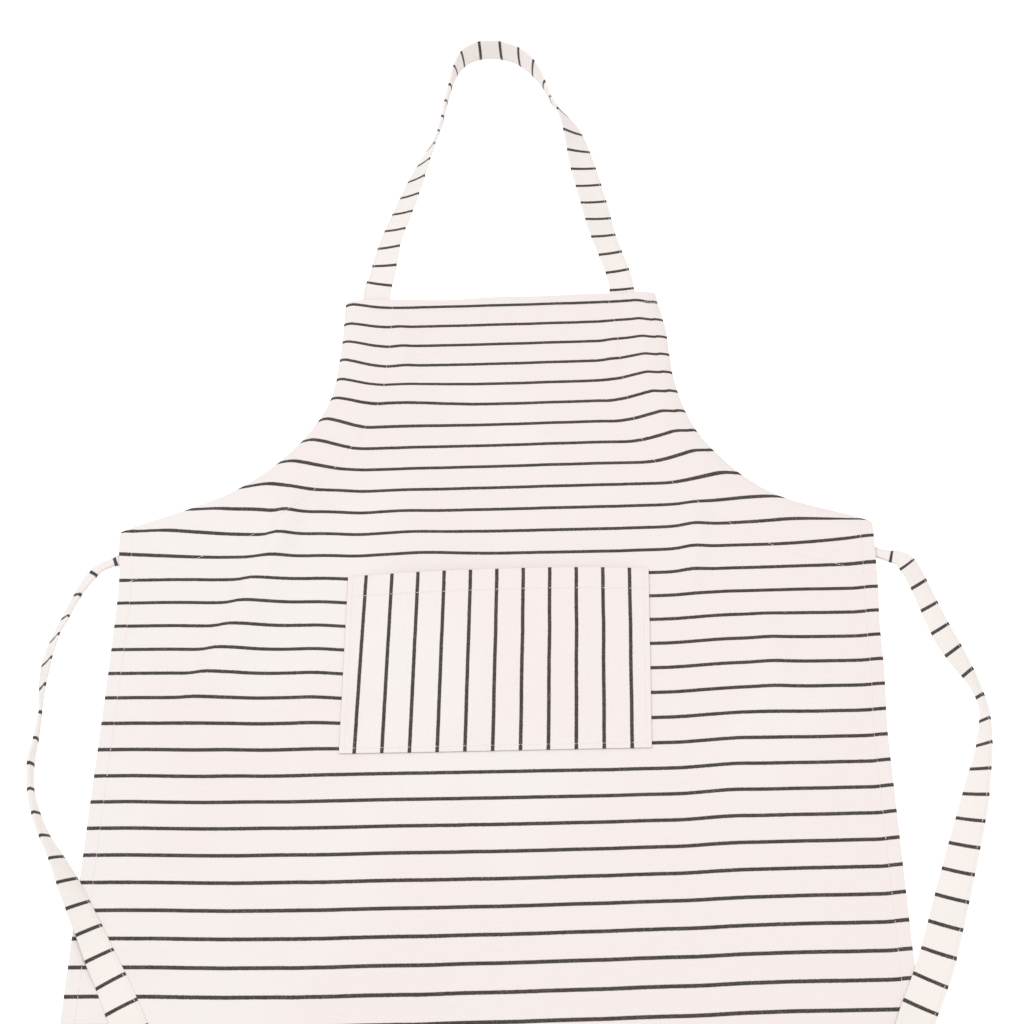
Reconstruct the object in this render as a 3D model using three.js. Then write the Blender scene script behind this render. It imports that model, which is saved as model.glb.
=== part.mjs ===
// Butcher apron, lying face up on a flat surface.
// Millimetres, +Z up, bib towards +Y, wearer's right-hand side towards -X.
// One cloth strap runs through a casing along each armhole: its middle is the neck loop
// and its two ends are the waist ties. The body cloth is split at the waist fold.
import * as THREE from 'three';

// Body cloth
const LENGTH = 880;                 // bib top to bottom hem
const WIDTH = 720;                  // skirt, side edge to side edge
const BIB_TOP_WIDTH = 328;
const WAIST_DROP = 278;             // bib top to the corner where armhole and side edge meet
const FLARE = THREE.MathUtils.degToRad(4);    // armhole edge at the bib top, away from vertical
const WING = THREE.MathUtils.degToRad(24);    // armhole edge at the waist, below horizontal
const ARMHOLE_RADIUS = 175;
const CLOTH = 1;                    // thickness of one cloth layer
const GAP = 0.3;                    // clearance between layers that touch

// Casings and strap
const CASING_WIDTH = 50;
const FACING = 0.8;                 // thickness of the facing under each casing
const STRAP_WIDTH = 30;
const STRAP = 2;                    // thickness of the doubled strap
const STRAP_OFFSET = 32;            // armhole edge to the strap's centre line
const STRAP_TRAVEL = 15;            // how far the strap can be drawn towards the neck
const STRAP_PIECE_GAP = 2.5;        // between strap pieces inside a casing
const TIE_ROOT = 18;                // straight stretch of strap outside each casing mouth
const NECK_ROOT = 5;                // the same at the bib top

// Pocket
const POCKET_WIDTH = 286;
const POCKET_HEIGHT = 184;
const POCKET_DROP = 331;            // bib top to the pocket mouth
const POCKET_SIDE = 7;              // the pocket's middle is this far off the apron's middle
const POCKET_PUFF = 6;              // how far the pocket stands off the skirt
const POCKET_SEAM_SHARE = 0.965;    // place of the edge seam, as a share of the half width

// Waist fold
const FOLD_DROP = 268;              // bib top to the fold line
const FOLD_GAP = 1;                 // between bib cloth and skirt cloth at the fold

// Seams: thread bands that stand on the cloth
const THREAD_WIDTH = 1;
const THREAD = 0.5;
const SEAM_LIFT = 0.35;
const HEM_WIDTH = 12;
const POCKET_HEM = 22;
const CASING_SEAM_INSET = 0.5;      // the casing seam runs just inside the facing's edge

// Heights and places that follow from these
const topY = LENGTH / 2;
const hemY = -LENGTH / 2;
const sideX = WIDTH / 2;
const waistY = topY - WAIST_DROP;
const foldY = topY - FOLD_DROP;
const strapZ = FACING + GAP;
const casingZ = strapZ + STRAP + GAP;         // underside of the body cloth over a casing
const plateauInset = CASING_WIDTH + 3;        // the cloth stays at that height this far in
const footInset = CASING_WIDTH + 28;          // and is flat on the surface from here on

const cotton = new THREE.MeshStandardMaterial({ color: 0xf1ece6, roughness: 0.92, metalness: 0 });
const facingCotton = new THREE.MeshStandardMaterial({ color: 0xe9e3dc, roughness: 0.92, metalness: 0 });
const strapCotton = new THREE.MeshStandardMaterial({ color: 0xece6de, roughness: 0.9, metalness: 0 });
const thread = new THREE.MeshStandardMaterial({ color: 0xf7f4f0, roughness: 0.8, metalness: 0 });

const apron = new THREE.Group();

function addMesh(name, geometry, material) {
  const mesh = new THREE.Mesh(geometry, material);
  mesh.name = name;
  apron.add(mesh);
}

// ---- Armhole outline: a straight flare, an arc and a straight wing, offset inwards by inset ----

const flareNormal = new THREE.Vector2(-Math.cos(FLARE), -Math.sin(FLARE));
const wingNormal = new THREE.Vector2(-Math.sin(WING), -Math.cos(WING));
const flareReach = flareNormal.dot(new THREE.Vector2(BIB_TOP_WIDTH / 2, topY));
const wingReach = wingNormal.dot(new THREE.Vector2(sideX, waistY));
const arcCentre = centreOfArc();

function centreOfArc() {
  const a = flareReach - ARMHOLE_RADIUS;
  const b = wingReach - ARMHOLE_RADIUS;
  const cross = flareNormal.x * wingNormal.y - flareNormal.y * wingNormal.x;
  const x = (a * wingNormal.y - b * flareNormal.y) / cross;
  const y = (b * flareNormal.x - a * wingNormal.x) / cross;
  return new THREE.Vector2(x, y);
}

function arcPoint(normal, inset) {
  return arcCentre.clone().addScaledVector(normal, ARMHOLE_RADIUS + inset);
}

function armholeX(y, inset) {
  if (y >= arcPoint(flareNormal, inset).y) return (flareReach + inset - y * flareNormal.y) / flareNormal.x;
  if (y < arcPoint(wingNormal, inset).y) return (wingReach + inset - y * wingNormal.y) / wingNormal.x;
  return arcCentre.x - Math.sqrt((ARMHOLE_RADIUS + inset) ** 2 - (y - arcCentre.y) ** 2);
}

function edgeX(y) {
  return y > waistY ? armholeX(y, 0) : sideX;
}

// Height at which a line offset from the armhole edge reaches the side edge.
function wingY(inset, x = sideX) {
  return (wingReach + inset - x * wingNormal.x) / wingNormal.y;
}

// ---- Solids ----

// A closed solid from corner positions and triangles, turned the right way out.
function closedSolid(positions, triangles) {
  let volume = 0;
  const corner = (i) => new THREE.Vector3().fromArray(positions, i * 3);
  for (let i = 0; i < triangles.length; i += 3) {
    const [a, b, c] = [corner(triangles[i]), corner(triangles[i + 1]), corner(triangles[i + 2])];
    volume += a.dot(b.cross(c));
  }
  if (volume < 0) triangles.reverse();
  const geometry = new THREE.BufferGeometry();
  geometry.setAttribute('position', new THREE.Float32BufferAttribute(positions, 3));
  geometry.setIndex(triangles);
  return geometry.toNonIndexed();
}

// A layer of even thickness over rows of underside points [x, y, z], all rows equally long.
function layer(rows, thickness) {
  const across = rows[0].length;
  const down = rows.length;
  const positions = [];
  for (const lift of [0, thickness]) {
    for (const [x, y, z] of rows.flat()) positions.push(x, y, z + lift);
  }
  const lower = (i, j) => i * across + j;
  const upper = (i, j) => down * across + lower(i, j);
  const triangles = [];
  const quad = (a, b, c, d) => triangles.push(a, b, c, a, c, d);
  // Every quad of the underside splits on the same diagonal as the one above it.
  for (let i = 0; i < down - 1; i++) {
    for (let j = 0; j < across - 1; j++) {
      quad(lower(i, j), lower(i, j + 1), lower(i + 1, j + 1), lower(i + 1, j));
      quad(upper(i, j), upper(i + 1, j), upper(i + 1, j + 1), upper(i, j + 1));
      if (i === down - 2) quad(lower(i + 1, j), lower(i + 1, j + 1), upper(i + 1, j + 1), upper(i + 1, j));
      if (i === 0) quad(lower(0, j + 1), lower(0, j), upper(0, j), upper(0, j + 1));
    }
    quad(lower(i, 0), lower(i + 1, 0), upper(i + 1, 0), upper(i, 0));
    quad(lower(i + 1, across - 1), lower(i, across - 1), upper(i, across - 1), upper(i + 1, across - 1));
  }
  return closedSolid(positions, triangles);
}

// A band of thread along points [x, y, z] of a surface.
function seam(points) {
  const rows = points.map(([x, y, z], i) => {
    const before = points[Math.max(i - 1, 0)];
    const after = points[Math.min(i + 1, points.length - 1)];
    const side = new THREE.Vector2(before[1] - after[1], after[0] - before[0]).setLength(THREAD_WIDTH / 2);
    return [[x - side.x, y - side.y, z + SEAM_LIFT], [x + side.x, y + side.y, z + SEAM_LIFT]];
  });
  return layer(rows, THREAD);
}

// A flat plate from an outline in plan.
function plate(points, z, thickness) {
  const geometry = new THREE.ExtrudeGeometry(new THREE.Shape(points), { depth: thickness, bevelEnabled: false });
  return geometry.translate(0, 0, z);
}

const mirrored = (rows) => rows.map((row) => row.map(([x, y, z]) => [-x, y, z]));
const steps = (from, to, count) => Array.from({ length: count + 1 }, (_, i) => from + (to - from) * i / count);

// ---- Body cloth ----

// Heights down the cloth where the armhole, the casing or the hem needs a row.
const bibRows = [topY, topY - HEM_WIDTH, ...steps(topY - 50, foldY + 28, 9), foldY + 12, foldY + FOLD_GAP / 2];
const casingEndY = wingY(CASING_WIDTH);
const skirtRows = [foldY - FOLD_GAP / 2, ...steps(foldY - 15, casingEndY + 4, 3), casingEndY,
  casingEndY - 25, ...steps(casingEndY - 70, hemY + HEM_WIDTH, 6), hemY];

// One row of the body cloth: plateau over each casing, slope, then flat in the middle.
function bodyRow(y) {
  const edge = edgeX(y);
  const raised = y < casingEndY ? Math.max(0, 1 - (casingEndY - y) / 25) : 1;
  const plateau = Math.min(armholeX(y, plateauInset), edge - 2);
  const foot = Math.min(armholeX(y, footInset), edge - 14);
  const half = [[edge, casingZ], [plateau, casingZ], [(plateau + foot) / 2, casingZ / 2], [foot, 0]];
  const right = half.map(([x, z]) => [x, y, z * raised]);
  const middle = [[foot / 2, y, 0], [0, y, 0], [-foot / 2, y, 0]];
  return [...right, ...middle, ...mirrored([right])[0].reverse()];
}

addMesh('bib_panel', layer(bibRows.map(bodyRow), CLOTH), cotton);
addMesh('skirt_panel', layer(skirtRows.map(bodyRow), CLOTH), cotton);

// ---- Pocket ----

const pocketTopY = topY - POCKET_DROP;
const pocketShares = [-1, -POCKET_SEAM_SHARE, -0.8, -0.55, -0.25, 0.25, 0.55, 0.8, POCKET_SEAM_SHARE, 1];
const pocketDepths = [0, POCKET_HEM / POCKET_HEIGHT, 0.3, 0.5, 0.7, 0.85, POCKET_SEAM_SHARE, 1];

function pocketPoint(share, depth) {
  const puff = POCKET_PUFF * (1 - Math.abs(share) ** 3) * (1 - depth ** 3);
  return [POCKET_SIDE + share * POCKET_WIDTH / 2, pocketTopY - depth * POCKET_HEIGHT, CLOTH + GAP + puff];
}

const pocketRow = (depth) => pocketShares.map((share) => pocketPoint(share, depth));
addMesh('pocket_panel', layer(pocketDepths.map(pocketRow), CLOTH), cotton);

// ---- Casings: a facing under the body cloth along each armhole ----

const facingRow = (y) => [[edgeX(y), y, 0], [armholeX(y, CASING_WIDTH), y, 0]];
const upperFacing = bibRows.map(facingRow);
const lowerFacing = skirtRows.filter((y) => y > casingEndY).concat(casingEndY + 1).map(facingRow);
for (const [side, place] of [['right', (rows) => rows], ['left', mirrored]]) {
  addMesh(`casing_facing_${side}_upper`, layer(place(upperFacing), FACING), facingCotton);
  addMesh(`casing_facing_${side}_lower`, layer(place(lowerFacing), FACING), facingCotton);
}

// ---- Strap inside the casings ----

// A point at this height on the line that runs beside the armhole edge.
const flarePoint = (y, inset) => new THREE.Vector2(armholeX(y, inset), y);
const wingAlong = new THREE.Vector2(-wingNormal.y, wingNormal.x);
const mouthCentre = arcPoint(wingNormal, STRAP_OFFSET);
mouthCentre.addScaledVector(wingAlong, (sideX - mouthCentre.x) / wingAlong.x);
const tieStart = mouthCentre.clone().addScaledVector(wingAlong, TIE_ROOT);
const nearInset = STRAP_OFFSET - STRAP_WIDTH / 2;
const farInset = STRAP_OFFSET + STRAP_WIDTH / 2;
const neckY = topY + NECK_ROOT;

function upperStrap() {
  const bottomNear = arcPoint(flareNormal, nearInset);
  const bottomFar = arcPoint(flareNormal, farInset);
  return [flarePoint(neckY, nearInset), bottomNear, bottomFar, flarePoint(neckY, farInset)];
}

function arcStrap() {
  const startAngle = flareNormal.angle() + STRAP_PIECE_GAP / (ARMHOLE_RADIUS + STRAP_OFFSET);
  const outline = [];
  for (const [inset, order] of [[nearInset, 1], [farInset, -1]]) {
    const radius = ARMHOLE_RADIUS + inset;
    const atFold = Math.PI - Math.asin((foldY + FOLD_GAP - arcCentre.y) / radius);
    const endAngle = Math.min(atFold, wingNormal.angle());
    const angles = steps(startAngle, endAngle, 12);
    const points = angles.map((angle) => new THREE.Vector2(Math.cos(angle), Math.sin(angle))
      .multiplyScalar(radius).add(arcCentre));
    outline.push(...(order > 0 ? points : points.reverse()));
  }
  return outline;
}

function lowerStrap() {
  const topEndY = foldY - FOLD_GAP - STRAP_TRAVEL * Math.sin(WING) - 1;
  const across = wingNormal.clone().multiplyScalar(STRAP_WIDTH / 2);
  const nearTop = new THREE.Vector2(armholeX(topEndY, nearInset), topEndY);
  const farTop = new THREE.Vector2(armholeX(topEndY, farInset), topEndY);
  return [nearTop, tieStart.clone().sub(across), tieStart.clone().add(across), farTop];
}

const flip = (points) => points.map((point) => new THREE.Vector2(-point.x, point.y));
for (const [side, place] of [['right', (points) => points], ['left', flip]]) {
  addMesh(`strap_upper_${side}`, plate(place(upperStrap()), strapZ, STRAP), strapCotton);
  addMesh(`strap_arc_${side}`, plate(place(arcStrap()), strapZ, STRAP), strapCotton);
  addMesh(`strap_lower_${side}`, plate(place(lowerStrap()), strapZ, STRAP), strapCotton);
}

// ---- Free strap: neck loop and ties ----

// Points are [x, y, roll, base]: roll in degrees lifts the strap's inner edge, and base is
// the height that its lower edge rests at. The inner edge is on the route's right (1) or left (-1).
function freeStrap(points, stepLength, innerSide) {
  const centres = points.map(([x, y, roll, base]) => {
    const tilt = THREE.MathUtils.degToRad(Math.abs(roll));
    const z = base + Math.sin(tilt) * STRAP_WIDTH / 2 + Math.cos(tilt) * STRAP / 2;
    return new THREE.Vector3(x, y, z);
  });
  const route = new THREE.CatmullRomCurve3(centres, false, 'centripetal');
  const rolls = new THREE.CatmullRomCurve3(points.map(([, , roll], i) => new THREE.Vector3(i * 25, roll, 0)));
  const count = Math.round(route.getLength() / stepLength);
  const positions = [];
  for (let i = 0; i <= count; i++) {
    const u = route.getUtoTmapping(i / count);
    const centre = route.getPoint(u);
    const along = route.getTangent(u);
    const roll = THREE.MathUtils.degToRad(rolls.getPoint(u).y);
    const side = new THREE.Vector3().crossVectors(along, new THREE.Vector3(0, 0, 1)).normalize();
    side.applyAxisAngle(along, -roll * innerSide);
    const up = new THREE.Vector3().crossVectors(side, along).normalize();
    for (const [across, lift] of [[-1, -1], [1, -1], [1, 1], [-1, 1]]) {
      const corner = centre.clone().addScaledVector(side, across * STRAP_WIDTH / 2);
      corner.addScaledVector(up, lift * STRAP / 2);
      positions.push(...corner.toArray());
    }
  }
  const triangles = [0, 1, 2, 0, 2, 3];
  const last = count * 4;
  triangles.push(last, last + 2, last + 1, last, last + 3, last + 2);
  for (let i = 0; i < count; i++) {
    for (let j = 0; j < 4; j++) {
      const [a, b] = [i * 4 + j, i * 4 + (j + 1) % 4];
      triangles.push(a, a + 4, b + 4, a, b + 4, b);
    }
  }
  return closedSolid(positions, triangles);
}

// The neck loop lies flat where it leaves the casings and stands on edge at its far end.
const onFloor = 0.5;
const startY = neckY + GAP;
const mouthX = armholeX(startY, STRAP_OFFSET);
const neckRoute = [
  [-mouthX, startY, 0, strapZ], [-mouthX, startY + 8, 0, strapZ], [-127, 474, 10, onFloor],
  [-117, 513, 25, onFloor], [-103, 561, 31, onFloor], [-88, 608, 42, onFloor], [-72, 654, 60, onFloor],
  [-62, 686, 80, onFloor], [-56, 726, 88, onFloor], [-48, 760, 90, onFloor], [-37, 779, 88, onFloor],
  [-19, 789, 86, onFloor], [4, 788, 86, onFloor], [27, 776, 88, onFloor], [43, 757, 90, onFloor],
  [54, 738, 88, onFloor], [63, 714, 78, onFloor], [76, 688, 57, onFloor], [85, 663, 43, onFloor],
  [91, 638, 30, onFloor], [96, 614, 17, onFloor], [106, 568, 12, onFloor], [115, 521, 13, onFloor],
  [124, 478, 8, onFloor], [mouthX, startY + 8, 0, strapZ], [mouthX, startY, 0, strapZ],
];
addMesh('neck_loop', freeStrap(neckRoute, 20, 1), strapCotton);

// Each tie leaves its casing, bends down beside the skirt, comes back over the skirt's edge
// and ends along the bottom hem, where the left tie's end lies on the right tie's.
const onSkirt = 2.6;
const onRightTie = onSkirt + STRAP + GAP;
const tieRoot = (sign) => [GAP, 13].map((distance) => {
  const point = tieStart.clone().addScaledVector(wingAlong, distance);
  return [sign * point.x, point.y, 0, strapZ];
});
const rightTieRoute = [
  ...tieRoot(1), [396, 98, 20, onFloor], [402, 77, 35, onFloor], [409, 52, 28, onFloor],
  [417, 27, 25, onFloor], [427, 4, 34, onFloor], [437, -18, 52, onFloor], [443, -41, 64, onFloor],
  [441, -66, 52, onFloor], [436, -90, 43, onFloor], [429, -113, 32, onFloor], [422, -137, 16, onFloor],
  [414, -160, 3, 1.5], [406, -183, -5, 2.2], [398, -206, -6, onSkirt], [390, -229, -5, onSkirt],
  [382, -252, -3, onSkirt], [374, -274, 0, onSkirt], [365, -294, 0, onSkirt], [355, -315, 0, onSkirt],
  [346, -336, 0, onSkirt], [333, -360, 0, onSkirt], [315, -381, 0, onSkirt], [291, -398, 0, onSkirt],
  [262, -409, 0, onSkirt], [226, -414, 0, onSkirt], [170, -415, 0, onSkirt], [90, -413, 0, onSkirt],
  [10, -411, 0, onSkirt], [-62, -412, 0, onSkirt],
];
const leftTieRoute = [
  ...tieRoot(-1), [-395, 96, 22, onFloor], [-402, 73, 38, onFloor], [-408, 47, 42, onFloor],
  [-412, 20, 46, onFloor], [-413, -6, 50, onFloor], [-413, -30, 56, onFloor], [-414, -54, 62, onFloor],
  [-415, -78, 66, onFloor], [-412, -103, 62, onFloor], [-403, -128, 50, onFloor], [-391, -151, 38, 1],
  [-377, -172, 27, 1.8], [-364, -194, 17, 2.4], [-352, -216, 9, onSkirt], [-340, -238, 4, onSkirt],
  [-328, -261, 0, onSkirt], [-315, -284, 0, onSkirt], [-303, -307, 0, onSkirt], [-291, -329, 0, onSkirt],
  [-275, -349, 0, onSkirt], [-251, -366, 0, onSkirt], [-222, -377, 0, onSkirt], [-186, -384, 0, onSkirt],
  [-130, -391, 0, onSkirt], [-92, -396, 0, onRightTie], [-40, -401, 0, onRightTie],
  [40, -405, 0, onRightTie], [128, -407, 0, onRightTie],
];
addMesh('tie_right', freeStrap(rightTieRoute, 10, 1), strapCotton);
addMesh('tie_left', freeStrap(leftTieRoute, 10, -1), strapCotton);

// ---- Seams ----

const onCloth = ([x, y, z]) => [x, y, z + CLOTH];
addMesh('bib_top_seam', seam(bodyRow(topY - HEM_WIDTH).slice(1, -1).map(onCloth)), thread);
addMesh('bottom_seam', seam(bodyRow(hemY + HEM_WIDTH).map(onCloth)
  .map(([x, y, z]) => [Math.sign(x) * Math.min(Math.abs(x), sideX - 2), y, z])), thread);

const seamInset = CASING_WIDTH - CASING_SEAM_INSET;
const casingSeam = (rows) => rows.map((y) => [armholeX(y, seamInset), y, casingZ + CLOTH]);
const upperSeam = casingSeam(bibRows.slice(1));
const lowerSeam = casingSeam(skirtRows.filter((y) => y > casingEndY + 2));
const sideSeam = [casingEndY - 30, 0, hemY + HEM_WIDTH + 2].map((y) => [sideX - HEM_WIDTH, y, CLOTH]);
for (const [side, place] of [['right', (points) => points], ['left', (points) => mirrored([points])[0]]]) {
  addMesh(`casing_seam_${side}_upper`, seam(place(upperSeam)), thread);
  addMesh(`casing_seam_${side}_lower`, seam(place(lowerSeam)), thread);
  addMesh(`side_seam_${side}`, seam(place(sideSeam)), thread);
}

const pocketHemPoints = pocketRow(POCKET_HEM / POCKET_HEIGHT).slice(2, -2).map(onCloth);
addMesh('pocket_hem_seam', seam(pocketHemPoints), thread);
const pocketEdgePoints = [
  ...pocketDepths.slice(0, -1).map((depth) => pocketPoint(-POCKET_SEAM_SHARE, depth)),
  ...pocketShares.slice(2, -2).map((share) => pocketPoint(share, POCKET_SEAM_SHARE)),
  ...pocketDepths.slice(0, -1).reverse().map((depth) => pocketPoint(POCKET_SEAM_SHARE, depth)),
];
addMesh('pocket_edge_seam', seam(pocketEdgePoints.map(onCloth)), thread);

export default apron;
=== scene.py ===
import bpy
import numpy as np
from mathutils import Matrix, Vector


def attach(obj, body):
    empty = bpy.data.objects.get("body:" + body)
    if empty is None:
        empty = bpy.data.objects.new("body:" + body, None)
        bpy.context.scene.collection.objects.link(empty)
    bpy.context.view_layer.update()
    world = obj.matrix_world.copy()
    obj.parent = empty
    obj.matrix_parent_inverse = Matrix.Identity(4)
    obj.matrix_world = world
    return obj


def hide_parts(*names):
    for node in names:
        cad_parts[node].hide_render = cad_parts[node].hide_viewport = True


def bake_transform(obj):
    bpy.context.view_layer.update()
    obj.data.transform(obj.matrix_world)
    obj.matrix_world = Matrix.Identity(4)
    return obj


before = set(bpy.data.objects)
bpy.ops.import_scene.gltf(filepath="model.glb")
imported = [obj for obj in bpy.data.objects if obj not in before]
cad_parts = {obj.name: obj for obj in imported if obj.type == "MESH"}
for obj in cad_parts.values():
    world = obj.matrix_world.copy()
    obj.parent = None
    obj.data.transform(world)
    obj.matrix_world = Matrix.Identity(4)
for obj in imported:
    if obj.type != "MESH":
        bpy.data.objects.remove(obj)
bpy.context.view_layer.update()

scene = bpy.context.scene
mm = 0.001
print("frame loaded,", len(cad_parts), "CAD nodes")


# camera, floor and lights

view = {
    "place": (0.1107, -0.7361, 1.4807),
    "right": (0.99830, 0.00500, -0.05800),
    "up": (0.02618, 0.85136, 0.52393),
    "lens": 63.07,
}
studio = {
    "floorSize": 9.0,
    "floorColour": (0.98, 0.98, 0.98, 1),
    "floorGlow": 0.30,
    "skyColour": (1.0, 0.995, 0.99, 1),
    "skyStrength": 0.85,
    "lamps": {
        "keyLamp": {"place": (0.6, -0.3, 2.55), "size": 1.6, "power": 31, "colour": (1, 0.985, 0.965)},
        "fillLamp": {"place": (-1.6, 0.9, 2.4), "size": 1.8, "power": 27, "colour": (0.97, 0.985, 1)},
    },
}


def placeCamera():
    right = Vector(view["right"]).normalized()
    up = Vector(view["up"])
    up = (up - right * up.dot(right)).normalized()
    turn = Matrix((right, up, right.cross(up))).transposed().to_4x4()
    lens = bpy.data.cameras.new("camera")
    lens.lens = view["lens"]
    lens.sensor_width = 36
    lens.clip_start, lens.clip_end = 0.05, 30
    camera = bpy.data.objects.new("camera", lens)
    camera.matrix_world = Matrix.Translation(view["place"]) @ turn
    scene.collection.objects.link(camera)
    scene.camera = camera


def placeLamp(name, place, size, power, colour):
    light = bpy.data.lights.new(name, "AREA")
    light.shape, light.size, light.energy, light.color = "DISK", size, power, colour
    lamp = bpy.data.objects.new(name, light)
    lamp.location = place
    lamp.rotation_euler = (Vector((0, 0.1, 0)) - Vector(place)).to_track_quat("-Z", "Y").to_euler()
    scene.collection.objects.link(lamp)


placeCamera()
for lampName, lampFacts in studio["lamps"].items():
    placeLamp(lampName, **lampFacts)
world = bpy.data.worlds.new("studio")
world.use_nodes = True
world.node_tree.nodes["Background"].inputs["Color"].default_value = studio["skyColour"]
world.node_tree.nodes["Background"].inputs["Strength"].default_value = studio["skyStrength"]
scene.world = world
scene.view_settings.view_transform = "Standard"
print("camera and lights placed")


# shader helpers

class Value:
    # a number socket that can be used in ordinary sums
    def __init__(self, shader, socket):
        self.shader, self.socket = shader, socket

    def math(self, operation, *others):
        return self.shader.add("Math", {"operation": operation}, [self, *others])

    def __add__(self, other): return self.math("ADD", other)
    def __sub__(self, other): return self.math("SUBTRACT", other)
    def __mul__(self, other): return self.math("MULTIPLY", other)
    def __rsub__(self, other): return self.shader.add("Math", {"operation": "SUBTRACT"}, [other, self])
    __radd__, __rmul__ = __add__, __mul__

    def ramp(self, low, high):
        # 0 at low, 1 at high, smooth between
        return self.shader.add("MapRange", {"interpolation_type": "SMOOTHSTEP"}, [self, low, high, 0, 1])


class Shader:
    def __init__(self, name):
        self.material = bpy.data.materials.new(name)
        self.material.use_nodes = True
        self.tree = self.material.node_tree
        self.tree.nodes.clear()

    def add(self, kind, settings=None, values=(), output=0):
        node = self.tree.nodes.new("ShaderNode" + kind)
        for key, value in (settings or {}).items():
            setattr(node, key, value)
        named = values.items() if isinstance(values, dict) else enumerate(values)
        for key, value in named:
            if isinstance(value, Value):
                self.tree.links.new(value.socket, node.inputs[key])
            else:
                node.inputs[key].default_value = value
        return Value(self, node.outputs[output])

    def mix(self, factor, first, second, blend="MIX"):
        node = self.tree.nodes.new("ShaderNodeMix")
        node.data_type, node.blend_type = "RGBA", blend
        for socket, value in zip((node.inputs[0], node.inputs[6], node.inputs[7]), (factor, first, second)):
            if isinstance(value, Value):
                self.tree.links.new(value.socket, socket)
            else:
                socket.default_value = value
        return Value(self, node.outputs[2])

    def noise(self, place, scale, detail=2.0, roughness=0.5):
        return self.add("TexNoise", {"noise_dimensions": "3D"},
                        {"Vector": place, "Scale": scale, "Detail": detail, "Roughness": roughness})

    def finish(self, constants, linked):
        node = self.tree.nodes.new("ShaderNodeBsdfPrincipled")
        for key, value in constants.items():
            node.inputs[key].default_value = value
        for key, value in linked.items():
            self.tree.links.new(value.socket, node.inputs[key])
        out = self.tree.nodes.new("ShaderNodeOutputMaterial")
        self.tree.links.new(node.outputs[0], out.inputs["Surface"])
        return self.material


# cotton: u runs across the stripes' length and v down their pitch, both in metres, in the map "Cloth"

cotton = {
    "light": (0.644, 0.586, 0.574, 1),
    # painted shade tint: the broad patches mix the cloth towards this cooler grey
    "shadeTint": (0.645, 0.609, 0.596, 1),
    "stripe": (0.020, 0.015, 0.016, 1),
    "stripeWorn": (0.10, 0.085, 0.085, 1),
    "pitch": 25 * mm,
    "stripeWidth": 3.5 * mm,
    "ribPitch": 1.25 * mm,
    "warpPitch": 0.62 * mm,
    "stripeSoft": 0.35 * mm,      # half the width of a stripe's soft edge
    "stripeRagged": 0.9 * mm,
    "stripeWander": 0.07,         # share of the pitch
}
threadColours = {"dark": (0.64, 0.59, 0.58, 1), "light": (0.70, 0.65, 0.64, 1)}
fullTurn = 6.2832


def stripedCotton(name, light=cotton["light"], shadeTint=cotton["shadeTint"], stripeWidth=cotton["stripeWidth"],
                  start=0.0, pitch=cotton["pitch"], stripes=True, shadeScale=5.5):
    s = Shader(name)
    cloth = s.add("UVMap", {"uv_map": "Cloth"})
    u = s.add("SeparateXYZ", None, [cloth])
    v = Value(s, u.socket.node.outputs[1])

    # threads: ribs along u, finer warp threads along v, both a little uneven
    drift = s.noise(cloth, 90, 2) - 0.5
    rib = ((v + drift * (0.5 * mm)) * (fullTurn / cotton["ribPitch"])).math("SINE")
    warp = ((u + drift * (0.4 * mm)) * (fullTurn / cotton["warpPitch"])).math("SINE")
    slub = s.noise(s.add("CombineXYZ", None, [u * 60, v * 900, 0]), 1.0, 2)
    fleck = s.noise(cloth, 1500, 1)

    # painted shade: broad soft patches, a little warmer and a little cooler, cooler to the left, in place of
    # soft light and shade over the cloth's slow waves
    paintedShade = (s.noise(cloth, shadeScale, 2.0, 0.45) - u * 0.4).ramp(0.40, 0.68)
    colour = s.mix(paintedShade, light, shadeTint)
    shade = rib * 0.012 + warp * 0.008 + (slub - 0.5) * 0.07 + (fleck - 0.5) * 0.05 + 1.0
    tone = s.add("CombineColor", None, [shade, shade, shade])
    colour = s.mix(1.0, colour, tone, "MULTIPLY")
    height = rib * 0.5 + warp * 0.25 + (slub - 0.5) * 1.2

    if stripes:
        wander = s.noise(s.add("CombineXYZ", None, [u * 14, v * 3, 0.37]), 1.0, 2) - 0.5
        ragged = s.noise(s.add("CombineXYZ", None, [u * 1400, v * 500, 0]), 1.0, 1) - 0.5
        turns = ((v - start) * (1 / pitch) + wander * cotton["stripeWander"] + 0.5).math("FRACT") - 0.5
        away = turns.math("ABSOLUTE") * pitch + ragged * cotton["stripeRagged"]
        soft = cotton["stripeSoft"]
        band = 1 - away.ramp(stripeWidth / 2 - soft, stripeWidth / 2 + soft)
        specks = s.noise(s.add("CombineXYZ", None, [u * 1100, v * 700, 0.8]), 1.0, 1).ramp(0.50, 0.72)
        paler = s.noise(s.add("CombineXYZ", None, [u * 60, v * 40, 2.1]), 1.0, 2).ramp(0.45, 0.75)
        ink = s.mix(specks * (paler * 0.5 + 0.42), cotton["stripe"], cotton["stripeWorn"])
        colour = s.mix(band * (0.97 - specks * 0.06), colour, ink)

    bump = s.add("Bump", None, {"Strength": 0.35, "Distance": 0.12 * mm, "Height": height})
    rough = 0.93 - slub * 0.08
    return s.finish({"Specular IOR Level": 0.18, "Sheen Weight": 0.05, "Sheen Roughness": 0.5},
                    {"Base Color": colour, "Roughness": rough, "Normal": bump})


def plainFloor():
    s = Shader("paleFloor")
    s.finish({"Base Color": studio["floorColour"], "Roughness": 0.9, "Specular IOR Level": 0.1,
              "Emission Color": studio["floorColour"], "Emission Strength": studio["floorGlow"]}, {})
    return s.material


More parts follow.
